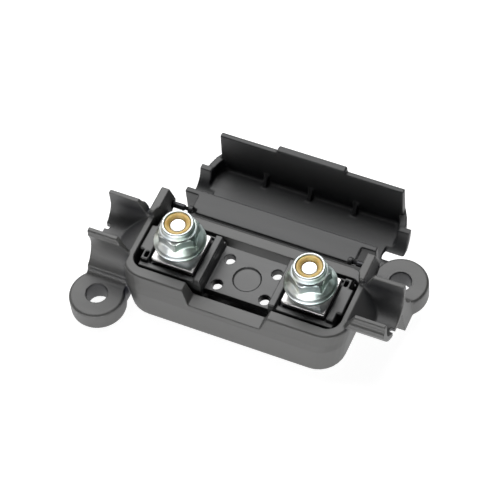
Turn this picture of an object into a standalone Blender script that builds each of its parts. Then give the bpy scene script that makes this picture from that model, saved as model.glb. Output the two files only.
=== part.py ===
"""Single-way strip-fuse holder with a hinged lid, two M5 studs and two cable cradles.

The long axis is X, the hinge is at the back (+Y), and the base's underside is the plane Z = 0.
The lid is modelled swung fully open, upside down behind the base.
"""

import math

import bmesh
import bpy
from mathutils import Matrix, Vector

MM = 0.001
GAP = 0.3 * MM

# Driving dimensions
STUD_X = 15.0 * MM
PLATE_TOP_Z = 12.2 * MM
RIM_Z = PLATE_TOP_Z

# Tub of the base
TUB_HALF_X = 26.2 * MM
TUB_HALF_Y = 10.3 * MM
TUB_SKIRT_Y = 11.6 * MM
TUB_SKIRT_TOP_Z = 7.8 * MM
TUB_FOOT_X = 24.7 * MM
TUB_CORNER_R = 6.0 * MM
CAVITY_HALF_X = 23.7 * MM
CAVITY_HALF_Y = 7.8 * MM
CAVITY_CORNER_R = 3.0 * MM
FLOOR_Z = 2.2 * MM
FLOOR_WINDOW_X = 9.2 * MM
FLOOR_WINDOW_Y = (-2.5 * MM, 8.6 * MM)
LATCH_WINDOW_TOP_X = (-10.3 * MM, 9.1 * MM)
LATCH_WINDOW_FOOT_X = (-8.9 * MM, 7.7 * MM)
LATCH_WINDOW_Z = 8.8 * MM
REAR_WINDOW_X = 22.9 * MM
REAR_WINDOW_Z = 9.0 * MM

# Cable cradles at both ends
CRADLE_START_X = 24.9 * MM
CRADLE_END_X = 34.0 * MM
LIP_START_X = 27.1 * MM
LIP_Z = 16.4 * MM
CHANNEL_R = 4.8 * MM
CHANNEL_AXIS_Z = 13.6 * MM
CRADLE_R = 6.1 * MM
SHOULDER_Y = 6.6 * MM
SHOULDER_Z = 14.6 * MM
RAMP_SLOPE = 0.74

# Fixing ears, one at the front left and one at the back right
EAR_X = 29.7 * MM
EAR_Y = 13.1 * MM
EAR_R = 6.1 * MM
EAR_Z = 5.0 * MM
EAR_HOLE_R = 2.35 * MM
EAR_SEAT_R = 2.95 * MM
EAR_ROOT_X = (24.5 * MM, 34.0 * MM)
EAR_ROOT_Y = (3.2 * MM, 4.8 * MM)
CREST_Y = 8.4 * MM
CREST_Z = 6.6 * MM
SCALLOP_R = 6.6 * MM
SCALLOP_Y = 12.1 * MM
SCALLOP_Z = 12.2 * MM

# Hinge
HINGE_Y = 12.2 * MM
HINGE_Z = 8.0 * MM
FIN_X = (23.0 * MM, 24.9 * MM)
FIN_FRONT_Y = 5.0 * MM
FIN_BACK_Y = 11.9 * MM
FIN_TOP_Z = 14.1 * MM
FIN_LUG_R = 1.5 * MM
PIN_R = 0.70 * MM
PIN_HOLE_R = 0.85 * MM
PIN_SHOULDER_X = 20.0 * MM
JOURNAL_R = 0.42 * MM
JOURNAL_END_X = 18.3 * MM
EYE_X = (18.1 * MM, 19.2 * MM)
EYE_R = 0.95 * MM
EYE_HOLE_R = 0.52 * MM

# Lid, in its open position
LID_WALL = 1.3 * MM
LID_NEAR_X = 22.5 * MM
LID_NEAR_Y = 17.1 * MM
LID_FAR_X = 21.9 * MM
LID_FAR_Y = 35.6 * MM
LID_MIDDLE_X = 23.7 * MM
LID_BOTTOM_Z = -6.3 * MM
LID_END_Z = -1.7 * MM
LID_NEAR_RIM_Z = 6.9 * MM
LID_FAR_RIM_Z = 5.7 * MM
FAR_WALL_LEAN = 0.8 * MM
FLAP_HALF_X = 19.2 * MM
FLAP_FRONT_Y = 12.5 * MM
FLAP_THICK = 1.4 * MM
OUTLET_Y = 25.0 * MM
OUTLET_Z = -1.2 * MM
OUTLET_END_X = 25.2 * MM
OUTLET_R = 4.3 * MM
OUTLET_WALL = 1.3 * MM
RIB_X = 10.8 * MM
LATCH_HALF_X = 8.2 * MM
LATCH_RISE = 0.9 * MM

# Terminal carrier
CARRIER_HALF_X = 23.3 * MM
CARRIER_HALF_Y = 6.7 * MM
POCKET_BACK_Y = 5.8 * MM
BED_Y = (-5.4 * MM, 6.4 * MM)
CARRIER_FOOT_Z = FLOOR_Z + GAP
BED_Z = 8.0 * MM
BED_THICK = 2.0 * MM
POCKET_INNER_X = 7.7 * MM
POCKET_LIP = 1.7 * MM
POCKET_WALL_Z = 11.0 * MM
POCKET_FLOOR_Z = 10.3 * MM
LAND_HALF_Y = 5.5 * MM
BED_HOLE = (5.54 * MM, 3.43 * MM, 1.25 * MM)
GATE_MARK_R = 3.07 * MM
POST_R = 2.2 * MM

# Studs, plates and nuts
PLATE_SIZE = 10.0 * MM
PLATE_THICK = 1.5 * MM
STUD_R = 2.4 * MM
STUD_TIP_R = 1.55 * MM
STUD_FOOT_Z = 3.0 * MM
STUD_HEAD_TOP_Z = 6.4 * MM
STUD_TIP_Z = 20.2 * MM
STUD_HEAD_AF = 8.0 * MM
NUT_Z = 14.7 * MM
NUT_TOP_Z = 21.2 * MM
NUT_AF = 8.0 * MM
FLANGE_R = 5.7 * MM
CROWN_R = 3.55 * MM
NUT_BORE_R = 2.6 * MM
RING_OUTER_R = 2.78 * MM
RING_INNER_R = 1.9 * MM

PLASTIC = ("moulded_black", (0.030, 0.030, 0.032), 0.48, 0.0)
PLATE_METAL = ("nickel_plate", (0.62, 0.60, 0.59), 0.30, 1.0)
STUD_METAL = ("bright_zinc", (0.72, 0.73, 0.74), 0.25, 1.0)
NUT_METAL = ("passivated_zinc", (0.64, 0.67, 0.68), 0.22, 1.0)
PIN_METAL = ("dark_steel", (0.08, 0.08, 0.09), 0.40, 1.0)
NYLON = ("locking_nylon", (0.86, 0.66, 0.28), 0.42, 0.0)


# ---------------------------------------------------------------- scene set-up

def clear_scene():
    for old in list(bpy.data.objects):
        bpy.data.objects.remove(old, do_unlink=True)


def new_collection(name):
    collection = bpy.data.collections.new(name)
    bpy.context.scene.collection.children.link(collection)
    return collection


clear_scene()
PARTS = new_collection("strip_fuse_holder")
CUTTERS = new_collection("cutters")
CUTTERS.hide_render = True


def material(spec):
    name, colour, roughness, metallic = spec
    mat = bpy.data.materials.get(name) or bpy.data.materials.new(name)
    mat.use_nodes = True
    shader = mat.node_tree.nodes["Principled BSDF"]
    shader.inputs["Base Color"].default_value = (*colour, 1.0)
    shader.inputs["Roughness"].default_value = roughness
    shader.inputs["Metallic"].default_value = metallic
    return mat


def add_object(name, mesh, collection, spec=None, origin=(0.0, 0.0, 0.0)):
    """Links a mesh built in world coordinates as an object whose origin is at `origin`."""
    place = Vector(origin)
    mesh.transform(Matrix.Translation(-place))
    obj = bpy.data.objects.new(name, mesh)
    obj.location = place
    collection.objects.link(obj)
    if spec:
        mesh.materials.append(material(spec))
    if collection is CUTTERS:
        obj.hide_render = True
        obj.display_type = "WIRE"
    return obj


def to_mesh(bm, name):
    bm.normal_update()
    bmesh.ops.recalc_face_normals(bm, faces=bm.faces)
    mesh = bpy.data.meshes.new(name)
    bm.to_mesh(mesh)
    bm.free()
    return mesh


# ---------------------------------------------------------------- basic solids

def box_mesh(name, low, high, bevel=0.0, segments=2):
    """A box between two corners, with all its edges rounded by `bevel`."""
    bm = bmesh.new()
    bmesh.ops.create_cube(bm, size=1.0)
    size = [b - a for a, b in zip(low, high)]
    middle = [(a + b) / 2 for a, b in zip(low, high)]
    bmesh.ops.scale(bm, vec=size, verts=bm.verts)
    bmesh.ops.translate(bm, vec=middle, verts=bm.verts)
    if bevel:
        bmesh.ops.bevel(bm, geom=list(bm.edges), offset=bevel, segments=segments,
                        profile=0.5, affect="EDGES", clamp_overlap=True)
    return to_mesh(bm, name)


def cylinder_mesh(name, radius, start, end, segments=32, end_radius=None):
    """A cylinder or cone frustum between two points."""
    start, end = Vector(start), Vector(end)
    along = end - start
    bm = bmesh.new()
    bmesh.ops.create_cone(bm, cap_ends=True, segments=segments, radius1=radius,
                          radius2=radius if end_radius is None else end_radius,
                          depth=along.length)
    turn = Vector((0.0, 0.0, 1.0)).rotation_difference(along).to_matrix().to_4x4()
    bm.transform(Matrix.Translation((start + end) / 2) @ turn)
    return to_mesh(bm, name)


def rounded_outline(half_x, front_y, back_y, radius, steps=7):
    """Points of a rounded rectangle, counter-clockwise, from y = front_y to y = back_y."""
    points = []
    corners = ((half_x, back_y, 0), (-half_x, back_y, 1), (-half_x, front_y, 2), (half_x, front_y, 3))
    for x, y, quarter in corners:
        centre_x = x - math.copysign(radius, x)
        centre_y = y - radius if y == back_y else y + radius
        for step in range(steps + 1):
            angle = math.pi / 2 * (quarter + step / steps)
            points.append((centre_x + radius * math.cos(angle), centre_y + radius * math.sin(angle)))
    return points


def loft_mesh(name, sections):
    """A closed solid through stacked outlines, each given as (z, points) with equal counts."""
    bm = bmesh.new()
    rings = [[bm.verts.new((x, y, z)) for x, y in points] for z, points in sections]
    count = len(rings[0])
    for low, high in zip(rings, rings[1:]):
        for i in range(count):
            j = (i + 1) % count
            bm.faces.new((low[i], low[j], high[j], high[i]))
    bm.faces.new(list(reversed(rings[0])))
    bm.faces.new(rings[-1])
    return to_mesh(bm, name)


def prism_mesh(name, outline, start_x, end_x):
    """A solid with a constant (y, z) outline between two x positions."""
    bm = bmesh.new()
    face = bm.faces.new([bm.verts.new((start_x, y, z)) for y, z in outline])
    swept = bmesh.ops.extrude_face_region(bm, geom=[face])["geom"]
    moved = [item for item in swept if isinstance(item, bmesh.types.BMVert)]
    bmesh.ops.translate(bm, vec=(end_x - start_x, 0.0, 0.0), verts=moved)
    return to_mesh(bm, name)


def swept_along_y(name, outline, start_y, end_y):
    """A solid with a constant (x, z) outline between two y positions."""
    bm = bmesh.new()
    face = bm.faces.new([bm.verts.new((x, start_y, z)) for x, z in outline])
    swept = bmesh.ops.extrude_face_region(bm, geom=[face])["geom"]
    moved = [item for item in swept if isinstance(item, bmesh.types.BMVert)]
    bmesh.ops.translate(bm, vec=(0.0, end_y - start_y, 0.0), verts=moved)
    return to_mesh(bm, name)


def turned_mesh(name, profile, centre, steps=40):
    """A solid of revolution about a vertical axis: a (radius, z) profile with a Screw modifier.

    The profile is a closed loop that runs down its outer side and up its bore, or an open line
    from the top of the axis round to its foot.
    """
    closed = profile[0][0] > 0.0
    mesh = bpy.data.meshes.new(name)
    edges = [(i, i + 1) for i in range(len(profile) - 1)]
    if closed:
        edges.append((len(profile) - 1, 0))
    mesh.from_pydata([(r, 0.0, z) for r, z in profile], edges, [])
    obj = bpy.data.objects.new(name, mesh)
    CUTTERS.objects.link(obj)
    screw = obj.modifiers.new("turn", "SCREW")
    screw.steps = steps
    screw.render_steps = steps
    screw.use_merge_vertices = True
    screw.merge_threshold = 0.00001
    turned = evaluated_mesh(obj, name)
    bpy.data.objects.remove(obj, do_unlink=True)
    turned.transform(Matrix.Translation(centre))
    return turned


def evaluated_mesh(obj, name):
    """The object's mesh after its modifiers, in world coordinates, closed and facing out."""
    bpy.context.view_layer.update()
    mesh = bpy.data.meshes.new_from_object(obj.evaluated_get(bpy.context.evaluated_depsgraph_get()))
    mesh.transform(obj.matrix_world)
    bm = bmesh.new()
    bm.from_mesh(mesh)
    bmesh.ops.remove_doubles(bm, verts=bm.verts, dist=0.000002)
    bmesh.ops.recalc_face_normals(bm, faces=bm.faces)
    bm.to_mesh(mesh)
    bm.free()
    mesh.name = name
    return mesh


def combine(target, mesh, operation):
    """Adds a Boolean modifier that joins, cuts or intersects the target with the given mesh."""
    tool = add_object(mesh.name, mesh, CUTTERS)
    modifier = target.modifiers.new(mesh.name, "BOOLEAN")
    modifier.operation = operation
    modifier.solver = "EXACT"
    modifier.object = tool
    return tool


def join(target, mesh):
    return combine(target, mesh, "UNION")


def cut(target, mesh):
    return combine(target, mesh, "DIFFERENCE")


def smooth(obj, angle=35.0):
    obj.data.shade_smooth()
    obj.data.set_sharp_from_angle(angle=math.radians(angle))


def side_name(side):
    return "right" if side > 0 else "left"


# ---------------------------------------------------------------- base housing

def tub_shell():
    """The tub: a straight back, a front skirt that swells below the rim, and a rounded foot."""
    foot = 0.9 * MM
    levels = (
        (0.0, TUB_FOOT_X - foot, TUB_SKIRT_Y - foot, TUB_HALF_Y - foot),
        (0.25 * MM, TUB_FOOT_X - 0.4 * foot, TUB_SKIRT_Y - 0.4 * foot, TUB_HALF_Y - 0.4 * foot),
        (foot, TUB_FOOT_X, TUB_SKIRT_Y, TUB_HALF_Y),
        (TUB_SKIRT_TOP_Z, TUB_HALF_X - 0.6 * MM, TUB_SKIRT_Y - 0.1 * MM, TUB_HALF_Y),
        (TUB_SKIRT_TOP_Z + 1.6 * MM, TUB_HALF_X - 0.3 * MM, TUB_HALF_Y + 0.55 * MM, TUB_HALF_Y),
        (RIM_Z - 0.5 * MM, TUB_HALF_X, TUB_HALF_Y + 0.05 * MM, TUB_HALF_Y),
        (RIM_Z - 0.12 * MM, TUB_HALF_X - 0.15 * MM, TUB_HALF_Y - 0.1 * MM, TUB_HALF_Y - 0.15 * MM),
        (RIM_Z, TUB_HALF_X - 0.5 * MM, TUB_HALF_Y - 0.45 * MM, TUB_HALF_Y - 0.5 * MM),
    )
    sections = []
    for z, half_x, front, back in levels:
        radius = TUB_CORNER_R - (TUB_HALF_Y - back)
        sections.append((z, rounded_outline(half_x, -front, back, radius)))
    return loft_mesh("base_housing", sections)


def cavity():
    inner = rounded_outline(CAVITY_HALF_X, -CAVITY_HALF_Y, CAVITY_HALF_Y, CAVITY_CORNER_R)
    return loft_mesh("cavity", [(FLOOR_Z, inner), (RIM_Z + 6 * MM, inner)])


def arc_points(centre_y, centre_z, radius, first, last, steps):
    angles = [math.radians(first + (last - first) * i / steps) for i in range(steps + 1)]
    return [(centre_y + radius * math.cos(a), centre_z + radius * math.sin(a)) for a in angles]


def cradle_body(side):
    """The U-shaped wall of a cable cradle, with a bead on each lip above a wider shoulder."""
    lip = CRADLE_R - 0.15 * MM
    outline = [(lip, LIP_Z - 0.3 * MM), (lip - 0.3 * MM, LIP_Z)]
    outline += [(-lip + 0.3 * MM, LIP_Z), (-lip, LIP_Z - 0.3 * MM)]
    outline += [(-lip, SHOULDER_Z + 0.5 * MM), (-SHOULDER_Y, SHOULDER_Z)]
    outline += [(-SHOULDER_Y, SHOULDER_Z - 1.2 * MM)]
    outline += arc_points(0.0, CHANNEL_AXIS_Z, CRADLE_R, 198, 342, 24)
    outline += [(SHOULDER_Y, SHOULDER_Z - 1.2 * MM), (SHOULDER_Y, SHOULDER_Z), (lip, SHOULDER_Z + 0.5 * MM)]
    return prism_mesh("cradle_body", outline, side * 22.0 * MM, side * CRADLE_END_X)


def cradle_channel(side):
    """The cable's trough, cut from the outer end up to the ramp that rises to the rim."""
    outline = arc_points(0.0, CHANNEL_AXIS_Z, CHANNEL_R, 180, 360, 32)
    outline += [(CHANNEL_R, LIP_Z + 4 * MM), (-CHANNEL_R, LIP_Z + 4 * MM)]
    return prism_mesh("cradle_channel", outline, side * CRADLE_START_X, side * (CRADLE_END_X + 2 * MM))


def cradle_ramp(side):
    """The slope from the end wall's top down to the channel's floor."""
    drop = RIM_Z - (CHANNEL_AXIS_Z - CHANNEL_R) + 0.5 * MM
    start = CRADLE_START_X - 0.6 * MM
    foot = CRADLE_START_X + drop / RAMP_SLOPE
    corners = [(start, RIM_Z - drop), (foot, RIM_Z - drop), (CRADLE_START_X, RIM_Z), (start, RIM_Z)]
    width = CHANNEL_R + 0.3 * MM
    return swept_along_y("cradle_ramp", [(side * x, z) for x, z in corners], -width, width)


def ramp_sides(side):
    """Rounds the ramp so that it ends inside the wall of the cradle."""
    radius = (CHANNEL_R + CRADLE_R) / 2
    outline = arc_points(0.0, CHANNEL_AXIS_Z, radius, 180, 360, 24)
    return prism_mesh("ramp_sides", outline, side * 23.0 * MM, side * 33.0 * MM)


def lip_relief(side):
    """Slopes the lips down to the rim where they meet the tub."""
    top = LIP_Z + 2 * MM
    run = LIP_START_X - CRADLE_START_X
    extra = run * (top - LIP_Z) / (LIP_Z - RIM_Z)
    outline = [(20.0 * MM, RIM_Z), (CRADLE_START_X, RIM_Z), (LIP_START_X + extra, top), (20.0 * MM, top)]
    return swept_along_y("lip_relief", [(side * x, z) for x, z in outline], -9.0 * MM, 9.0 * MM)


def ear_block(side):
    """The leg under the cradle and the ear's root, up to the crest below the scallop."""
    fillet_r = CREST_Z - EAR_Z
    outline = [(side * EAR_ROOT_Y[1], 0.0), (side * EAR_ROOT_Y[0], CHANNEL_AXIS_Z - CHANNEL_R + 0.5 * MM)]
    outline += [(side * EAR_ROOT_Y[0], CHANNEL_AXIS_Z)]
    outline += [(side * 6.0 * MM, CHANNEL_AXIS_Z), (side * CREST_Y, CREST_Z)]
    for step in range(1, 7):
        angle = math.pi / 2 * step / 6
        y = CREST_Y + fillet_r * (1 - math.cos(angle))
        outline.append((side * y, CREST_Z - fillet_r * math.sin(angle)))
    outline += [(side * EAR_Y, EAR_Z), (side * EAR_Y, 0.0)]
    return prism_mesh("ear_block", outline, side * EAR_ROOT_X[0], side * EAR_ROOT_X[1])


def scallop(side):
    """The round relief between the cradle's lip and the ear."""
    centre = (SCALLOP_Y * side, SCALLOP_Z)
    return cylinder_mesh("scallop", SCALLOP_R, (side * 24.6 * MM, *centre), (side * 36 * MM, *centre), 64)


def ear_disc(side):
    rounding = 0.5 * MM
    profile = [(0.0, EAR_Z), (EAR_R - rounding, EAR_Z), (EAR_R - 0.3 * rounding, EAR_Z - 0.3 * rounding),
               (EAR_R, EAR_Z - rounding), (EAR_R, rounding), (EAR_R - rounding, 0.0), (0.0, 0.0)]
    return turned_mesh("ear_disc", profile, (side * EAR_X, side * EAR_Y, 0.0), 48)


def hinge_fin(side):
    """The upright lug at a back corner that carries the hinge pin."""
    outline = [(FIN_FRONT_Y, RIM_Z - 2.5 * MM), (FIN_FRONT_Y, FIN_TOP_Z - 0.2 * MM)]
    outline += [(FIN_FRONT_Y + 0.2 * MM, FIN_TOP_Z), (FIN_BACK_Y - 0.2 * MM, FIN_TOP_Z)]
    outline += [(FIN_BACK_Y, FIN_TOP_Z - 0.2 * MM)]
    outline += arc_points(HINGE_Y, HINGE_Z, FIN_LUG_R, 20, -90, 10)
    outline += [(TUB_HALF_Y - 1.5 * MM, HINGE_Z - FIN_LUG_R - 1.5 * MM)]
    return prism_mesh("hinge_fin", outline, side * FIN_X[0], side * FIN_X[1])


def latch_window():
    """The gap in the front rim for the lid's latch, with ends that slope outwards to the top."""
    rise = (RIM_Z + MM - LATCH_WINDOW_Z) / (RIM_Z - LATCH_WINDOW_Z)
    top = [foot + (top - foot) * rise for foot, top in zip(LATCH_WINDOW_FOOT_X, LATCH_WINDOW_TOP_X)]
    outline = [(LATCH_WINDOW_FOOT_X[0], LATCH_WINDOW_Z), (LATCH_WINDOW_FOOT_X[1], LATCH_WINDOW_Z)]
    outline += [(top[1], RIM_Z + MM), (top[0], RIM_Z + MM)]
    return swept_along_y("latch_window", outline, -14 * MM, -7 * MM)


def ear_groove(ear):
    """The fine ring groove round the screw hole of the right-hand ear."""
    inner, outer = EAR_SEAT_R - 0.12 * MM, EAR_SEAT_R + 0.12 * MM
    profile = [(outer, EAR_Z + MM), (outer, EAR_Z - 0.25 * MM)]
    profile += [(inner, EAR_Z - 0.25 * MM), (inner, EAR_Z + MM)]
    return turned_mesh("ear_groove", profile, (*ear, 0.0), 40)


def build_base():
    base = add_object("base_housing", tub_shell(), PARTS, PLASTIC)
    for side in (-1, 1):
        join(base, cradle_body(side))
        join(base, ear_block(side))
    for side in (-1, 1):
        cut(base, scallop(side))
        cut(base, cradle_channel(side))
        cut(base, lip_relief(side))
        ramp = join(base, cradle_ramp(side))
        combine(ramp, ramp_sides(side), "INTERSECT")
        join(base, ear_disc(side))
        join(base, hinge_fin(side))
        join(base, mirrored_box("corner_rest", side, (22.2 * MM, 23.4 * MM), (4.9 * MM, 7.2 * MM),
                                (RIM_Z - 2.5 * MM, RIM_Z + 0.3 * MM)))
    cut(base, cavity())
    cut(base, box_mesh("floor_window", (-FLOOR_WINDOW_X, FLOOR_WINDOW_Y[0], -MM),
                       (FLOOR_WINDOW_X, FLOOR_WINDOW_Y[1], FLOOR_Z + 0.4 * MM)))
    cut(base, latch_window())
    cut(base, box_mesh("rear_window", (-REAR_WINDOW_X, 7 * MM, REAR_WINDOW_Z),
                       (REAR_WINDOW_X, 14 * MM, RIM_Z + MM)))
    for side in (-1, 1):
        ear = (side * EAR_X, side * EAR_Y)
        cut(base, cylinder_mesh("ear_hole", EAR_HOLE_R, (*ear, -MM), (*ear, EAR_Z + 4 * MM), 36))
        if side > 0:
            cut(base, ear_groove(ear))
        cut(base, cylinder_mesh("pin_hole", PIN_HOLE_R, (side * 20 * MM, HINGE_Y, HINGE_Z),
                                (side * 28 * MM, HINGE_Y, HINGE_Z), 24))
        cut(base, box_mesh("drain_slot", *sorted_corners((side * 33.0 * MM, -side * 1.8 * MM, 5.0 * MM),
                                                         (side * 36.0 * MM, -side * 0.6 * MM, 10.4 * MM))))
    smooth(base)


def sorted_corners(a, b):
    low = tuple(min(p, q) for p, q in zip(a, b))
    high = tuple(max(p, q) for p, q in zip(a, b))
    return low, high


# ---------------------------------------------------------------- terminal carrier

def mirrored_box(name, side, x_range, y_range, z_range, bevel=0.0):
    corners = sorted_corners((side * x_range[0], y_range[0], z_range[0]),
                             (side * x_range[1], y_range[1], z_range[1]))
    return box_mesh(name, *corners, bevel)


def build_carrier():
    """The insert that holds both studs: a raised pocket at each end and a sunken bed between."""
    half_y = (-CARRIER_HALF_Y, CARRIER_HALF_Y)
    bed = box_mesh("terminal_carrier", (-9.0 * MM, BED_Y[0], BED_Z - BED_THICK), (9.0 * MM, BED_Y[1], BED_Z))
    carrier = add_object("terminal_carrier", bed, PARTS, PLASTIC)
    plate_inner = STUD_X - PLATE_SIZE / 2
    plate_outer = STUD_X + PLATE_SIZE / 2
    lip_end = POCKET_INNER_X + POCKET_LIP
    for side in (-1, 1):
        join(carrier, mirrored_box("pocket", side, (POCKET_INNER_X, 22.4 * MM), half_y,
                                   (CARRIER_FOOT_Z, POCKET_WALL_Z), 0.25 * MM))
        join(carrier, mirrored_box("inner_lip", side, (POCKET_INNER_X + 0.1 * MM, lip_end),
                                   (-CARRIER_HALF_Y + 0.1 * MM, POCKET_BACK_Y),
                                   (BED_Z, PLATE_TOP_Z - 0.15 * MM), 0.2 * MM))
        join(carrier, mirrored_box("end_land", side, (plate_outer + 0.5 * MM, 22.2 * MM),
                                   (-LAND_HALF_Y, LAND_HALF_Y),
                                   (POCKET_FLOOR_Z, RIM_Z - 0.05 * MM), 0.15 * MM))
        join(carrier, mirrored_box("end_tongue", side, (22.0 * MM, CARRIER_HALF_X),
                                   (-3.2 * MM, 3.2 * MM), (CARRIER_FOOT_Z, RIM_Z - 0.05 * MM), 0.15 * MM))
        cut(carrier, mirrored_box("back_relief", side, (POCKET_INNER_X - MM, 24 * MM), (POCKET_BACK_Y, 9 * MM),
                                  (REAR_WINDOW_Z, 14 * MM)))
        cut(carrier, mirrored_box("pocket_floor", side, (plate_inner - GAP, plate_outer + GAP),
                                  (-PLATE_SIZE / 2 - GAP, PLATE_SIZE / 2 + GAP), (POCKET_FLOOR_Z, 14 * MM)))
        stud = (side * STUD_X, 0.0)
        cut(carrier, cylinder_mesh("stud_hole", STUD_R + GAP, (*stud, 0.0), (*stud, 14 * MM), 32))
        cut(carrier, cylinder_mesh("head_pocket", (STUD_HEAD_AF / 2 + GAP) / math.cos(math.pi / 6),
                                   (*stud, 0.0), (*stud, STUD_HEAD_TOP_Z + GAP), 6))
        cut(carrier, mirrored_box("key_slot", side, (20.8 * MM, 21.6 * MM),
                                  tuple(sorted((side * 3.4 * MM, side * 4.9 * MM))), (9.6 * MM, 14 * MM)))
        for across in (-1, 1):
            hole = (side * BED_HOLE[0], across * BED_HOLE[1])
            cut(carrier, cylinder_mesh("bed_hole", BED_HOLE[2], (*hole, 3 * MM), (*hole, 10 * MM), 24))
    cut(carrier, cylinder_mesh("gate_mark", GATE_MARK_R, (0.0, 0.0, BED_Z - 0.3 * MM),
                               (0.0, 0.0, 10 * MM), 36))
    join(carrier, cylinder_mesh("post", POST_R, (0.0, 0.0, 0.0), (0.0, 0.0, BED_Z - MM), 32))
    smooth(carrier)


# ---------------------------------------------------------------- lid

def lid_outline(inset):
    """The tray seen from above: it bulges at both ends and narrows to the far wall."""
    half = [(LID_NEAR_X, LID_NEAR_Y), (LID_MIDDLE_X - 0.4 * MM, LID_NEAR_Y + 2.2 * MM)]
    half += [(LID_MIDDLE_X, OUTLET_Y - 1.0 * MM), (LID_MIDDLE_X, OUTLET_Y + 6.3 * MM)]
    half += [(LID_MIDDLE_X - 0.7 * MM, OUTLET_Y + 8.6 * MM), (LID_FAR_X, LID_FAR_Y)]
    middle_y = (LID_NEAR_Y + LID_FAR_Y) / 2
    right = [(x - inset, y + math.copysign(inset, middle_y - y)) for x, y in half]
    return right + [(-x, y) for x, y in reversed(right)]


def lid_tray():
    """The shallow tray of the lid, below the level where the near and far walls stand free."""
    levels = ((LID_BOTTOM_Z, 1.5), (LID_BOTTOM_Z + 0.5 * MM, 0.6),
              (LID_BOTTOM_Z + 1.6 * MM, 0.0), (LID_END_Z, 0.0))
    return loft_mesh("lid", [(z, lid_outline(inset * MM)) for z, inset in levels])


def lid_hollow():
    floor = LID_BOTTOM_Z + LID_WALL
    levels = ((floor, LID_WALL + 0.5 * MM), (floor + 0.4 * MM, LID_WALL), (12 * MM, LID_WALL))
    return loft_mesh("lid_hollow", [(z, lid_outline(inset)) for z, inset in levels])


def near_wall():
    low = (-LID_NEAR_X, LID_NEAR_Y, LID_END_Z - 1.5 * MM)
    return box_mesh("near_wall", low, (LID_NEAR_X, LID_NEAR_Y + LID_WALL, LID_NEAR_RIM_Z))


def far_wall():
    """The latch side of the lid; its inner face leans in towards the floor."""
    inner = LID_FAR_Y - LID_WALL
    floor = LID_BOTTOM_Z + LID_WALL
    outline = [(LID_FAR_Y, floor + MM), (LID_FAR_Y, LID_FAR_RIM_Z - 0.3 * MM)]
    outline += [(LID_FAR_Y - 0.3 * MM, LID_FAR_RIM_Z)]
    outline += [(inner, LID_FAR_RIM_Z), (inner - FAR_WALL_LEAN, floor + 0.4 * MM)]
    outline += [(inner - FAR_WALL_LEAN - 0.5 * MM, floor - 0.3 * MM), (LID_FAR_Y - MM, floor - 0.3 * MM)]
    return prism_mesh("far_wall", outline, -LID_FAR_X, LID_FAR_X)


def outlet_shell(side):
    """Collar over the cable; its round side faces down while the lid is open."""
    outer = OUTLET_R + OUTLET_WALL
    outline = arc_points(OUTLET_Y, OUTLET_Z, outer, 240, 354, 22)
    outline += [(OUTLET_Y + outer, LID_END_Z + 0.1 * MM), (OUTLET_Y, LID_END_Z + 0.1 * MM)]
    return prism_mesh("outlet_shell", outline, side * (LID_MIDDLE_X - 1.0 * MM), side * OUTLET_END_X)


def outlet_cut(side):
    outline = arc_points(OUTLET_Y, OUTLET_Z, OUTLET_R, 180, 360, 26)
    outline += [(OUTLET_Y + OUTLET_R, 12 * MM), (OUTLET_Y - OUTLET_R, 12 * MM)]
    return prism_mesh("outlet_cut", outline, side * (LID_MIDDLE_X - 3 * MM), side * (OUTLET_END_X + MM))


def eye(side):
    """The small eye at each end of the flap that turns on the pin's journal."""
    outline = arc_points(HINGE_Y, HINGE_Z, EYE_R, 200, -20, 18)
    foot_z = LID_NEAR_RIM_Z - 0.6 * MM
    outline += [(FLAP_FRONT_Y + 1.4 * MM, foot_z), (FLAP_FRONT_Y + 0.05 * MM, foot_z)]
    return prism_mesh("eye", outline, side * EYE_X[0], side * EYE_X[1])


def rib(centre_x):
    """A short gusset between the lid's floor and its far wall."""
    foot, floor = LID_FAR_Y - LID_WALL - FAR_WALL_LEAN, LID_BOTTOM_Z + LID_WALL
    outline = [(foot - 2.2 * MM, floor - 0.3 * MM), (foot + 0.5 * MM, floor - 0.3 * MM)]
    outline += [(foot + 0.5 * MM, floor + 2.6 * MM), (foot + 0.2 * MM, floor + 2.8 * MM)]
    return prism_mesh("lid_rib", outline, centre_x - 0.5 * MM, centre_x + 0.5 * MM)


def build_lid():
    lid = add_object("lid", lid_tray(), PARTS, PLASTIC, (0.0, HINGE_Y, HINGE_Z))
    for side in (-1, 1):
        join(lid, outlet_shell(side))
    cut(lid, lid_hollow())
    join(lid, near_wall())
    join(lid, far_wall())
    flap_low = (-FLAP_HALF_X, FLAP_FRONT_Y, LID_NEAR_RIM_Z - FLAP_THICK)
    join(lid, box_mesh("flap", flap_low, (FLAP_HALF_X, LID_NEAR_Y + 0.5 * MM, LID_NEAR_RIM_Z)))
    for side in (-1, 1):
        cut(lid, outlet_cut(side))
        join(lid, eye(side))
        cut(lid, cylinder_mesh("eye_hole", EYE_HOLE_R, (side * 17 * MM, HINGE_Y, HINGE_Z),
                               (side * 20 * MM, HINGE_Y, HINGE_Z), 20))
    for column in (-1, 0, 1):
        join(lid, rib(column * RIB_X))
    join(lid, box_mesh("latch_tab", (-LATCH_HALF_X, LID_FAR_Y - LID_WALL, LID_FAR_RIM_Z - 2 * MM),
                       (LATCH_HALF_X, LID_FAR_Y + 0.5 * MM, LID_FAR_RIM_Z + LATCH_RISE), 0.25 * MM))
    smooth(lid)


# ---------------------------------------------------------------- metal parts

def build_plate(side):
    low = (side * STUD_X - PLATE_SIZE / 2, -PLATE_SIZE / 2, PLATE_TOP_Z - PLATE_THICK)
    high = (side * STUD_X + PLATE_SIZE / 2, PLATE_SIZE / 2, PLATE_TOP_Z)
    name = side_name(side) + "_contact_plate"
    plate = add_object(name, box_mesh(name, low, high, 0.2 * MM), PARTS, PLATE_METAL)
    axis = (side * STUD_X, 0.0)
    cut(plate, cylinder_mesh("plate_hole", STUD_R + GAP, (*axis, 8 * MM), (*axis, 14 * MM), 32))


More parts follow.
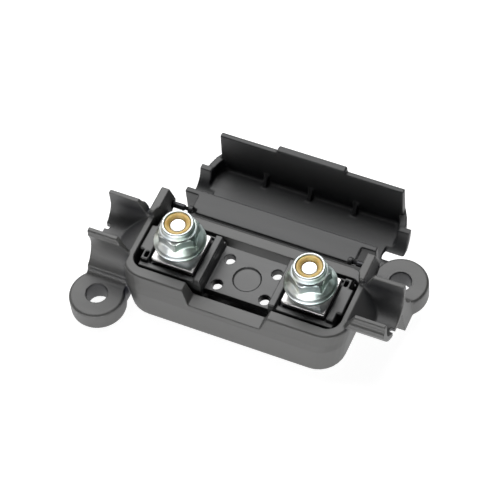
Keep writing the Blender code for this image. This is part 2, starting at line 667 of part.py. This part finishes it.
def build_stud(side):
    """An M5 stud on a hexagon head, with a chamfered dog point."""
    axis = (side * STUD_X, 0.0, 0.0)
    name = side_name(side) + "_stud"
    shank = [(0.0, STUD_TIP_Z), (STUD_TIP_R - 0.2 * MM, STUD_TIP_Z), (STUD_TIP_R, STUD_TIP_Z - 0.2 * MM),
             (STUD_TIP_R, 19.5 * MM), (STUD_R, 18.8 * MM), (STUD_R, STUD_FOOT_Z + MM), (0.0, STUD_FOOT_Z + MM)]
    stud = add_object(name, turned_mesh(name, shank, axis, 32), PARTS, STUD_METAL)
    radius = STUD_HEAD_AF / 2 / math.cos(math.pi / 6)
    join(stud, cylinder_mesh("stud_head", radius, (axis[0], 0.0, STUD_FOOT_Z), (axis[0], 0.0, STUD_HEAD_TOP_Z), 6))
    smooth(stud)


def nut_cone():
    """Flange, hexagon height and crown of the nut as one turned outline, without its bore."""
    hex_r = NUT_AF / 2 / math.cos(math.pi / 6)
    rim = NUT_Z + 0.9 * MM
    return [(0.0, NUT_TOP_Z), (CROWN_R - 0.5 * MM, NUT_TOP_Z), (CROWN_R - 0.12 * MM, NUT_TOP_Z - 0.15 * MM),
            (CROWN_R, NUT_TOP_Z - 0.6 * MM), (CROWN_R, NUT_TOP_Z - 1.5 * MM), (hex_r - 0.5 * MM, 19.4 * MM),
            (hex_r, 18.9 * MM), (hex_r, 17.2 * MM), (hex_r + 0.15 * MM, 16.6 * MM), (FLANGE_R - 0.3 * MM, rim),
            (FLANGE_R, rim - 0.25 * MM), (FLANGE_R, NUT_Z + 0.3 * MM), (FLANGE_R - 0.3 * MM, NUT_Z), (0.0, NUT_Z)]


def build_nut(side, turn):
    """A flanged lock nut: the turned outline cut to six flats above the flange."""
    axis = (side * STUD_X, 0.0, 0.0)
    name = side_name(side) + "_flange_nut"
    nut = add_object(name, turned_mesh(name, nut_cone(), axis, 48), PARTS, NUT_METAL, (side * STUD_X, 0.0, NUT_Z))
    for flat in range(6):
        cut(nut, flat_cutter(side, turn + 60.0 * flat))
    bore = (side * STUD_X, 0.0)
    cut(nut, cylinder_mesh("nut_bore", NUT_BORE_R, (*bore, NUT_Z - MM), (*bore, NUT_TOP_Z + MM), 36))
    cut(nut, cylinder_mesh("crown_recess", RING_OUTER_R + 0.15 * MM, (*bore, NUT_TOP_Z - 1.8 * MM),
                           (*bore, NUT_TOP_Z + MM), 36))
    smooth(nut)


def flat_cutter(side, degrees):
    """A block outside one flat; its foot slopes outwards to leave the cone of the flange."""
    outline = [(NUT_AF / 2, 16.9 * MM), (FLANGE_R + MM, 15.75 * MM), (FLANGE_R + MM, 22 * MM), (NUT_AF / 2, 22 * MM)]
    mesh = prism_mesh("nut_flat", outline, -4.0 * MM, 4.0 * MM)
    mesh.transform(Matrix.Translation((side * STUD_X, 0.0, 0.0)) @ Matrix.Rotation(math.radians(degrees), 4, "Z"))
    return mesh


def build_nylon_ring(side):
    name = side_name(side) + "_nylon_ring"
    top, foot, soft = 20.95 * MM, 19.7 * MM, 0.2 * MM
    profile = [(RING_OUTER_R - soft, top), (RING_OUTER_R, top - soft), (RING_OUTER_R, foot), (RING_INNER_R, foot),
               (RING_INNER_R, top - 0.35 * MM), (RING_INNER_R + 0.3 * MM, top)]
    mesh = turned_mesh(name, profile, (side * STUD_X, 0.0, 0.0), 40)
    smooth(add_object(name, mesh, PARTS, NYLON, (side * STUD_X, 0.0, foot)))


def build_pin(side):
    """The hinge pin: pressed into the fin, shouldered, with a thin journal in the lid's eye."""
    name = side_name(side) + "_hinge_pin"
    outer = FIN_X[1] - 0.1 * MM
    shoulder = outer - PIN_SHOULDER_X
    end = outer - JOURNAL_END_X
    profile = [(0.0, end), (JOURNAL_R - 0.1 * MM, end), (JOURNAL_R, end - 0.1 * MM), (JOURNAL_R, shoulder)]
    profile += [(PIN_R - 0.2 * MM, shoulder - 0.03 * MM), (PIN_R, shoulder - 0.25 * MM)]
    profile += [(PIN_R, 0.15 * MM), (PIN_R - 0.15 * MM, 0.0), (0.0, 0.0)]
    mesh = turned_mesh(name, profile, (0.0, 0.0, 0.0), 24)
    mesh.transform(Matrix.Translation((side * outer, HINGE_Y, HINGE_Z))
                   @ Matrix.Rotation(-side * math.pi / 2, 4, "Y"))
    smooth(add_object(name, mesh, PARTS, PIN_METAL))


build_base()
build_carrier()
build_lid()
for end, nut_turn in ((-1, 12.0), (1, -6.0)):
    build_plate(end)
    build_stud(end)
    build_nut(end, nut_turn)
    build_nylon_ring(end)
    build_pin(end)
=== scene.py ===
"""Looks for the strip-fuse holder: moulded shells, zinc lock nuts, threaded studs and studio light."""

import math

import bmesh
import bpy
from mathutils import Matrix, Vector


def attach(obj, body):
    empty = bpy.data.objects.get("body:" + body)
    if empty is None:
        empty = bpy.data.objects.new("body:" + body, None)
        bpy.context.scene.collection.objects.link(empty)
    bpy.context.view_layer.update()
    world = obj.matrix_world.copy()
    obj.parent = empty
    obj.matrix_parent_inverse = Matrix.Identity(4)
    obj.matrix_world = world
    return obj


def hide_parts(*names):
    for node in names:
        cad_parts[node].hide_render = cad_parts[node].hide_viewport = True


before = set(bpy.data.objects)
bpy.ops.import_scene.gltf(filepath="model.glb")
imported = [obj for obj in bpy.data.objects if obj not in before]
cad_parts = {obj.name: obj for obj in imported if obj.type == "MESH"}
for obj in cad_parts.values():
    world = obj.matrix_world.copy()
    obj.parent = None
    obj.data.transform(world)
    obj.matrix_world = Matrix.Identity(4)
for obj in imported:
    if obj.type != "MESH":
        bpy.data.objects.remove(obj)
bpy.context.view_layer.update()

MM = 0.001
STUD_X = 15.0 * MM
HINGE = Vector((0.0, 12.2 * MM, 8.0 * MM))


# ---------------------------------------------------------------- materials

class Shader:
    """A Principled material with short helpers to add procedural nodes."""

    def __init__(self, name, colour, roughness, metallic=0.0):
        self.mat = bpy.data.materials.new(name)
        self.mat.use_nodes = True
        self.tree = self.mat.node_tree
        self.main = self.tree.nodes["Principled BSDF"]
        self.set("Base Color", (*colour, 1.0))
        self.set("Roughness", roughness)
        self.set("Metallic", metallic)
        self.where = self.tree.nodes.new("ShaderNodeTexCoord").outputs["Object"]
        self.bump_chain = None

    def set(self, socket, value):
        self.main.inputs[socket].default_value = value

    def link(self, source, target):
        self.tree.links.new(source, target)

    def mapped(self, scale):
        node = self.tree.nodes.new("ShaderNodeMapping")
        node.inputs["Scale"].default_value = scale
        self.link(self.where, node.inputs["Vector"])
        return node.outputs["Vector"]

    def noise(self, scale, stretch=(1.0, 1.0, 1.0), detail=4.0, roughness=0.55):
        node = self.tree.nodes.new("ShaderNodeTexNoise")
        node.inputs["Scale"].default_value = scale
        node.inputs["Detail"].default_value = detail
        node.inputs["Roughness"].default_value = roughness
        self.link(self.mapped(stretch), node.inputs["Vector"])
        return node.outputs["Fac"]

    def ramp(self, value, stops):
        node = self.tree.nodes.new("ShaderNodeValToRGB")
        ramp = node.color_ramp
        while len(ramp.elements) < len(stops):
            ramp.elements.new(0.5)
        for element, (position, colour) in zip(ramp.elements, stops):
            element.position = position
            shade = colour if isinstance(colour, tuple) else (colour, colour, colour)
            element.color = (*shade, 1.0)
        self.link(value, node.inputs["Fac"])
        return node.outputs["Color"]

    def span(self, value, low, high):
        node = self.tree.nodes.new("ShaderNodeMapRange")
        node.inputs["To Min"].default_value = low
        node.inputs["To Max"].default_value = high
        self.link(value, node.inputs["Value"])
        return node.outputs["Result"]

    def mix(self, factor, first, second, blend="MIX"):
        node = self.tree.nodes.new("ShaderNodeMix")
        node.data_type = "RGBA"
        node.blend_type = blend
        for name, value in (("Factor", factor), ("A", first), ("B", second)):
            socket = node.inputs[name]
            if isinstance(value, (int, float)):
                socket.default_value = value
            elif isinstance(value, tuple):
                socket.default_value = (*value, 1.0)
            else:
                self.link(value, socket)
        return node.outputs["Result"]

    def bump(self, height, strength, distance):
        node = self.tree.nodes.new("ShaderNodeBump")
        node.inputs["Strength"].default_value = strength
        node.inputs["Distance"].default_value = distance
        self.link(height, node.inputs["Height"])
        if self.bump_chain:
            self.link(self.bump_chain, node.inputs["Normal"])
        self.bump_chain = node.outputs["Normal"]
        self.link(self.bump_chain, self.main.inputs["Normal"])

    def occlusion(self, distance, samples=6):
        node = self.tree.nodes.new("ShaderNodeAmbientOcclusion")
        node.samples = samples
        node.only_local = True
        node.inputs["Distance"].default_value = distance
        return node.outputs["AO"]


# How far the painted shade in hollows reaches, and how much of each colour is left at its deepest (a
# bluish painted darkening)
PAINTED_SHADE_REACH = 12.0 * MM
PAINTED_SHADE_TINT = (0.06, 0.09, 0.30)


def moulded_plastic(name, colour, roughness, streaks=0.35, gloss=0.95):
    """Charcoal moulding: fine grain, soft flow streaks along X, and painted shade darkening its hollows
    and creases.
    """
    s = Shader(name, colour, roughness)
    s.set("Specular IOR Level", gloss)
    flow = s.noise(260.0, (0.10, 1.0, 1.0), 5.0, 0.6)
    cloud = s.noise(90.0, (0.6, 1.0, 1.0), 3.0)
    light = tuple(c * 1.32 for c in colour)
    dark = tuple(c * 0.72 for c in colour)
    tone = s.mix(s.span(cloud, 0.1, 0.9), dark, light)
    tone = s.mix(streaks, tone, s.ramp(flow, ((0.3, dark), (0.7, light))))
    # Painted shade: ambient occlusion darkens the colour towards a bluish dark in hollows, creases and
    # recesses
    painted_shade = s.ramp(s.occlusion(PAINTED_SHADE_REACH), ((0.30, 0.0), (0.80, 1.0)))
    shade_colour = tuple(c * k for c, k in zip(colour, PAINTED_SHADE_TINT))
    tone = s.mix(painted_shade, shade_colour, tone)
    s.link(tone, s.main.inputs["Base Color"])
    s.link(s.span(flow, roughness - 0.07, roughness + 0.09), s.main.inputs["Roughness"])
    s.bump(s.noise(5200.0, detail=2.0), 0.16, 0.05 * MM)
    s.bump(flow, 0.10, 0.10 * MM)
    return s.mat


def zinc(name, base, tint_and_reflection_weight):
    """Passivated zinc, faintly clouded and scratched; its colour by facing, darker greyer teal towards
    +X and straw towards -X, is partly the coating's own tint and partly painted reflection and shade
    fixed to the object's sides.
    """
    s = Shader(name, base, 0.34, 1.0)
    # Painted reflection and shade: the colour follows which way the surface faces in object space,
    # partly the passivation tint and partly reflections fixed to +X and -X
    facing = s.tree.nodes.new("ShaderNodeSeparateXYZ")
    s.link(s.tree.nodes.new("ShaderNodeTexCoord").outputs["Normal"], facing.inputs["Vector"])
    side = s.tree.nodes.new("ShaderNodeMapRange")
    side.inputs["From Min"].default_value = -1.0
    s.link(facing.outputs["X"], side.inputs["Value"])
    facing_tint_and_reflection = s.ramp(side.outputs["Result"], ((0.15, (0.66, 0.66, 0.58)), (0.42, (0.80, 0.84, 0.86)),
                                          (0.62, (0.74, 0.80, 0.80)), (0.85, (0.42, 0.55, 0.50))))
    patches = s.noise(380.0, detail=3.0)
    cloud = s.ramp(patches, ((0.34, (0.82, 0.90, 0.92)), (0.52, (1.0, 1.0, 1.0)),
                             (0.68, (0.96, 0.98, 0.88))))
    facing_tint_and_reflection = s.mix(1.0, facing_tint_and_reflection, cloud, "MULTIPLY")
    s.link(s.mix(tint_and_reflection_weight, base, facing_tint_and_reflection), s.main.inputs["Base Color"])
    scratch = s.noise(900.0, (1.0, 1.0, 5.0), 5.0, 0.6)
    s.link(s.span(scratch, 0.27, 0.43), s.main.inputs["Roughness"])
    s.bump(scratch, 0.05, 0.03 * MM)
    return s.mat


def plating(name):
    """Pale satin plating with fine brushed lines across the plate."""
    s = Shader(name, (0.66, 0.64, 0.63), 0.34, 1.0)
    lines = s.noise(700.0, (0.12, 3.0, 1.0), 6.0, 0.7)
    cloud = s.noise(160.0, detail=3.0)
    tone = s.mix(s.span(cloud, 0.2, 0.8), (0.56, 0.55, 0.545), (0.70, 0.69, 0.68))
    s.link(tone, s.main.inputs["Base Color"])
    s.link(s.span(lines, 0.26, 0.48), s.main.inputs["Roughness"])
    s.bump(lines, 0.18, 0.05 * MM)
    return s.mat


def nylon(name):
    """Golden locking nylon, slightly translucent, with a faint mottle."""
    s = Shader(name, (0.80, 0.55, 0.16), 0.42)
    mottle = s.noise(600.0, detail=3.0)
    tone = s.ramp(mottle, ((0.3, (0.70, 0.45, 0.12)), (0.7, (0.90, 0.68, 0.27))))
    s.link(tone, s.main.inputs["Base Color"])
    s.set("Subsurface Weight", 0.25)
    s.set("Subsurface Radius", (0.0012, 0.0007, 0.0003))
    s.bump(mottle, 0.10, 0.05 * MM)
    return s.mat


def dark_pin(name):
    """Dark steel with faint lines along the pin."""
    s = Shader(name, (0.05, 0.05, 0.055), 0.38, 0.7)
    s.bump(s.noise(2000.0, (0.2, 1.0, 1.0)), 0.12, 0.05 * MM)
    return s.mat


CASE = moulded_plastic("case_moulding", (0.052, 0.052, 0.050), 0.48)
INSERT = moulded_plastic("insert_moulding", (0.026, 0.027, 0.027), 0.44, 0.45)
COVER = moulded_plastic("cover_moulding", (0.015, 0.016, 0.017), 0.46, 0.5, 0.70)
ZINC = zinc("zinc_nut", (0.74, 0.77, 0.78), 0.85)
STEEL = zinc("zinc_stud", (0.86, 0.87, 0.88), 0.15)
PLATE = plating("contact_plating")
NYLON = nylon("locking_nylon")
PIN = dark_pin("pin_steel")


# ---------------------------------------------------------------- mesh helpers

def show(obj, mat, body, slot, *nodes):
    obj.data.materials.clear()
    obj.data.materials.append(mat)
    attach(obj, body)
    if nodes:
        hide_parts(*nodes)
    return obj


def new_object(name, mesh):
    obj = bpy.data.objects.new(name, mesh)
    bpy.context.scene.collection.objects.link(obj)
    return obj


def from_bmesh(name, bm):
    bmesh.ops.recalc_face_normals(bm, faces=bm.faces)
    mesh = bpy.data.meshes.new(name)
    bm.to_mesh(mesh)
    bm.free()
    mesh.shade_smooth()
    return new_object(name, mesh)


def node_copy(node, name):
    """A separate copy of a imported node's mesh, welded, in the row's frame."""
    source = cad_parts[node]
    mesh = source.data.copy()
    mesh.transform(source.matrix_world)
    mesh.name = name
    bm = bmesh.new()
    bm.from_mesh(mesh)
    bmesh.ops.remove_doubles(bm, verts=bm.verts, dist=0.002 * MM)
    bmesh.ops.recalc_face_normals(bm, faces=bm.faces)
    bm.to_mesh(mesh)
    bm.free()
    return new_object(name, mesh)


def apply_modifiers(obj):
    bpy.context.view_layer.update()
    graph = bpy.context.evaluated_depsgraph_get()
    mesh = bpy.data.meshes.new_from_object(obj.evaluated_get(graph))
    obj.modifiers.clear()
    old = obj.data
    obj.data = mesh
    bpy.data.meshes.remove(old)
    obj.data.shade_smooth()
    return obj


def soft_moulding(node, name, voxel=0.22 * MM, rounds=5, keep=0.55):
    """A node's shape with every edge softened, as it leaves the mould."""
    obj = node_copy(node, name)
    remesh = obj.modifiers.new("skin", "REMESH")
    remesh.mode = "VOXEL"
    remesh.voxel_size = voxel
    remesh.adaptivity = 0.0
    relax = obj.modifiers.new("relax", "SMOOTH")
    relax.factor = 0.5
    relax.iterations = rounds
    if keep < 1.0:
        thin = obj.modifiers.new("thin", "DECIMATE")
        thin.ratio = keep
    return apply_modifiers(obj)


def turned(name, profile, centre, steps=96, closed=True):
    """A turned piece from a (radius, z) profile in millimetres, about a vertical axis."""
    bm = bmesh.new()
    rings = []
    for radius, z in profile:
        if radius < 1e-6:
            rings.append([bm.verts.new((centre[0], centre[1], z * MM))])
            continue
        ring = []
        for i in range(steps):
            angle = 2 * math.pi * i / steps
            ring.append(bm.verts.new((centre[0] + radius * MM * math.cos(angle),
                                      centre[1] + radius * MM * math.sin(angle), z * MM)))
        rings.append(ring)
    pairs = list(zip(rings, rings[1:]))
    if closed:
        pairs.append((rings[-1], rings[0]))
    for a, b in pairs:
        join_rings(bm, a, b)
    return from_bmesh(name, bm)


def join_rings(bm, a, b):
    if len(a) == 1 and len(b) == 1:
        return
    count = max(len(a), len(b))
    for i in range(count):
        j = (i + 1) % count
        if len(a) == 1:
            bm.faces.new((a[0], b[i], b[j]))
        elif len(b) == 1:
            bm.faces.new((a[i], a[j], b[0]))
        else:
            bm.faces.new((a[i], a[j], b[j], b[i]))


# ---------------------------------------------------------------- metal pieces

NUT_TURN = {-1: 12.0, 1: -6.0}


def hex_radius(angle, flat):
    """Distance from the axis to a hexagon's side in a direction, with its corners rounded."""
    sector = (angle + math.pi / 6) % (math.pi / 3) - math.pi / 6
    return min(flat / math.cos(sector), flat * 1.125)


def nut(side, name):
    """A flanged lock nut: domed flange, six flats with chamfered corners, and a rolled crown."""
    centre = (side * STUD_X, 0.0)
    turn = math.radians(NUT_TURN[side])
    steps = 240
    profile = [(2.62, 14.75), (5.30, 14.70), (5.58, 14.78), (5.68, 15.00), (5.66, 15.24), (5.52, 15.46),
               (5.30, 15.68), (5.12, 15.86), (5.02, 16.00)]
    bm = bmesh.new()
    rings = []

    def add(radius_of, z):
        ring = []
        for i in range(steps):
            angle = 2 * math.pi * i / steps
            r = radius_of(angle)
            height = z(angle) if callable(z) else z
            ring.append(bm.verts.new((centre[0] + r * MM * math.cos(angle),
                                      centre[1] + r * MM * math.sin(angle), height * MM)))
        rings.append(ring)

    for radius, z in profile:
        add(lambda a, r=radius: r, z)
    for step in range(1, 15):
        z = 16.0 + 0.22 * step
        cone = 5.02 - 0.75 * (z - 16.0)
        add(lambda a, r=cone: max(r, hex_radius(a - turn, 4.0)), z)
    add(lambda a: hex_radius(a - turn, 4.0),
        lambda a: 19.42 - 1.1 * max(0.0, hex_radius(a - turn, 4.0) - 4.0))
    add(lambda a: min(hex_radius(a - turn, 4.0), 4.02), 19.52)
    crown = ((3.90, 19.58), (3.66, 19.66), (3.56, 19.85), (3.54, 20.60), (3.50, 20.90), (3.38, 21.12),
             (3.20, 21.22), (3.02, 21.22), (2.88, 21.12), (2.82, 20.95), (2.82, 19.60), (2.62, 19.45))
    for radius, z in crown:
        add(lambda a, r=radius: r, z)
    for a, b in zip(rings, rings[1:] + rings[:1]):
        join_rings(bm, a, b)
    obj = from_bmesh(name, bm)
    obj.data.set_sharp_from_angle(angle=math.radians(34))
    return obj


def nylon_ring(side, name):
    centre = (side * STUD_X, 0.0)
    profile = [(2.78, 19.75), (2.78, 20.88), (2.70, 20.98), (2.54, 21.02), (2.36, 20.97), (2.16, 20.84),
               (1.96, 20.62), (1.83, 20.38), (1.79, 20.10), (1.79, 19.75)]
    return turned(name, profile, centre, 96)


def stud(side, name):
    """The stud's shank with a fine V thread and a rounded end."""
    centre = (side * STUD_X, 0.0)
    head = [(0.0, 3.0), (4.0, 3.0), (4.2, 3.3), (4.2, 6.1), (3.9, 6.4), (2.36, 6.4)]
    thread = []
    z = 6.8
    while z < 18.4:
        thread += [(2.36, z), (2.12, z + 0.40)]
        z += 0.80
    end = [(2.30, 18.6), (1.90, 19.1), (1.74, 19.3), (1.74, 20.20), (1.66, 20.34), (1.45, 20.42),
           (0.80, 20.45), (0.0, 20.46)]
    obj = turned(name, head + thread + end, centre, 64, closed=False)
    obj.data.set_sharp_from_angle(angle=math.radians(40))
    return obj


def plate(side, name):
    """A stamped plate with rolled edges round its square outline and its hole."""
    half, top, thick, soft = 5.0, 12.2, 1.5, 0.22
    steps = 160
    levels = ((-soft, top - thick), (0.0, top - thick + soft), (0.0, top - soft),
              (-0.35 * soft, top - 0.3 * soft), (-soft, top))
    bm = bmesh.new()
    rings = []
    for inset, z in levels:
        ring = []
        for i in range(steps):
            angle = 2 * math.pi * (i + 0.5) / steps
            reach = square_radius(angle, half + inset, 0.55)
            ring.append(bm.verts.new((side * STUD_X + reach * MM * math.cos(angle),
                                      reach * MM * math.sin(angle), z * MM)))
        rings.append(ring)
    for radius, z in ((2.85, top), (2.65, top - 0.2), (2.65, top - thick)):
        ring = []
        for i in range(steps):
            angle = 2 * math.pi * (i + 0.5) / steps
            ring.append(bm.verts.new((side * STUD_X + radius * MM * math.cos(angle),
                                      radius * MM * math.sin(angle), z * MM)))
        rings.append(ring)
    for a, b in zip(rings, rings[1:] + rings[:1]):
        join_rings(bm, a, b)
    obj = from_bmesh(name, bm)
    obj.data.set_sharp_from_angle(angle=math.radians(50))
    return obj


def square_radius(angle, half, corner):
    """Distance from the centre to the outline of a square whose corners are rounded."""
    c, s = abs(math.cos(angle)), abs(math.sin(angle))
    reach = half / max(c, s)
    x, y = reach * c, reach * s
    inner = half - corner
    if x > inner and y > inner:
        b = inner * (c + s)
        reach = b + math.sqrt(max(b * b - 2 * inner * inner + corner * corner, 0.0))
    return reach


def hinge_pin(side, name):
    """The pin, with a rounded shoulder and its thin journal, lying along X."""
    profile = [(0.0, 0.0), (0.55, 0.0), (0.70, 0.15), (0.70, 4.45), (0.64, 4.65), (0.52, 4.77),
               (0.42, 4.80), (0.42, 6.50), (0.32, 6.60), (0.0, 6.60)]
    obj = turned(name, profile, (0.0, 0.0), 48, closed=False)
    obj.data.transform(Matrix.Translation((side * 24.8 * MM, HINGE.y, HINGE.z))
                       @ Matrix.Rotation(-side * math.pi / 2, 4, "Y"))
    return obj


# ---------------------------------------------------------------- build the pieces

DETAIL = 0.20 * MM

show(soft_moulding("base_housing", "base_shell", DETAIL), CASE,
     "base", "black_moulding", "base_housing")
show(soft_moulding("terminal_carrier", "carrier_shell", DETAIL * 0.8, 3), INSERT,
     "base", "black_moulding", "terminal_carrier")
show(soft_moulding("lid", "lid_shell", DETAIL, 4), COVER, "lid", "black_moulding", "lid")

for side, word in ((-1, "left"), (1, "right")):
    nut_body = word + "_nut"
    show(nut(side, word + "_nut_skin"), ZINC, nut_body, "zinc_steel", word + "_flange_nut")
    show(nylon_ring(side, word + "_ring_skin"), NYLON, nut_body, "yellow_nylon", word + "_nylon_ring")
    show(stud(side, word + "_stud_skin"), STEEL, "base", "zinc_steel", word + "_stud")
    show(plate(side, word + "_plate_skin"), PLATE, "base", "contact_metal", word + "_contact_plate")
    show(hinge_pin(side, word + "_pin_skin"), PIN, "base", "pin_steel", word + "_hinge_pin")


# ---------------------------------------------------------------- floor, light and camera

# Two points of the tilted floor: under the front ear, and under the back of the opened lid.
# Between them the plane passes above the lid's near edge, so it cuts through the lid there.
FRONT_REST = Vector((0.0, -19.2 * MM, 0.0))
BACK_REST = Vector((0.0, 34.0 * MM, -6.45 * MM))


def floor_plane():
    bm = bmesh.new()
    bmesh.ops.create_grid(bm, x_segments=2, y_segments=2, size=4.0)
    obj = from_bmesh("floor", bm)
    along = (BACK_REST - FRONT_REST).normalized()
    tilt = math.atan2(along.z, along.y)
    middle = (FRONT_REST + BACK_REST) / 2
    obj.matrix_world = Matrix.Translation(middle) @ Matrix.Rotation(tilt, 4, "X")
    s = Shader("floor_card", (0.42, 0.42, 0.425), 0.6)
    s.set("Specular IOR Level", 0.15)
    s.set("Emission Color", (1.0, 1.0, 1.0, 1.0))
    s.set("Emission Strength", 0.93)
    obj.data.materials.append(s.mat)


floor_plane()


def area_light(name, where, target, size, power):
    light = bpy.data.lights.new(name, "AREA")
    light.shape = "RECTANGLE"
    light.size, light.size_y = size
    light.energy = power
    obj = bpy.data.objects.new(name, light)
    obj.location = where
    aim = Vector(target) - Vector(where)
    obj.rotation_euler = aim.to_track_quat("-Z", "Y").to_euler()
    bpy.context.scene.collection.objects.link(obj)


area_light("soft_top", (-0.14, 0.26, 0.42), (0.0, 0.0, 0.01), (0.50, 0.46), 2.6)
area_light("left_side", (-0.42, 0.02, 0.26), (0.0, 0.0, 0.01), (0.25, 0.30), 0.20)
area_light("front_low", (0.06, -0.36, 0.05), (0.0, 0.0, 0.005), (0.50, 0.12), 1.5)

world = bpy.data.worlds.new("studio")
bpy.context.scene.world = world
world.use_nodes = True
sky = world.node_tree
where = sky.nodes.new("ShaderNodeTexCoord").outputs["Generated"]
glow = sky.nodes.new("ShaderNodeVectorMath")
glow.operation = "DOT_PRODUCT"
glow.inputs[1].default_value = (-0.20, 0.55, 0.80)
sky.links.new(where, glow.inputs[0])
height = sky.nodes.new("ShaderNodeMapRange")
height.inputs["From Min"].default_value = -0.10
height.inputs["From Max"].default_value = 1.0
height.inputs["To Min"].default_value = 0.03
height.inputs["To Max"].default_value = 0.95
sky.links.new(glow.outputs["Value"], height.inputs["Value"])
sky.links.new(height.outputs["Result"], sky.nodes["Background"].inputs["Strength"])


# Camera direction, given as its right, up and backward axes in the row's frame
RIGHT = Vector((0.9126, 0.4030, -0.0689))
UP = Vector((-0.2978, 0.7706, 0.5636))
BACK = Vector((0.2802, -0.4938, 0.8232))
TARGET = Vector((0.0, 0.0, 18.74 * MM))
DISTANCE = 0.5

camera_data = bpy.data.cameras.new("camera")
camera = bpy.data.objects.new("camera", camera_data)
bpy.context.scene.collection.objects.link(camera)
place = TARGET + BACK * DISTANCE
camera.matrix_world = Matrix(((RIGHT.x, UP.x, BACK.x, place.x), (RIGHT.y, UP.y, BACK.y, place.y),
                              (RIGHT.z, UP.z, BACK.z, place.z), (0.0, 0.0, 0.0, 1.0)))
camera_data.sensor_width = 36.0
camera_data.lens = 172.3
camera_data.shift_x = 0.0138
camera_data.shift_y = 0.0008
bpy.context.scene.camera = camera

bpy.context.scene.view_settings.view_transform = "Standard"
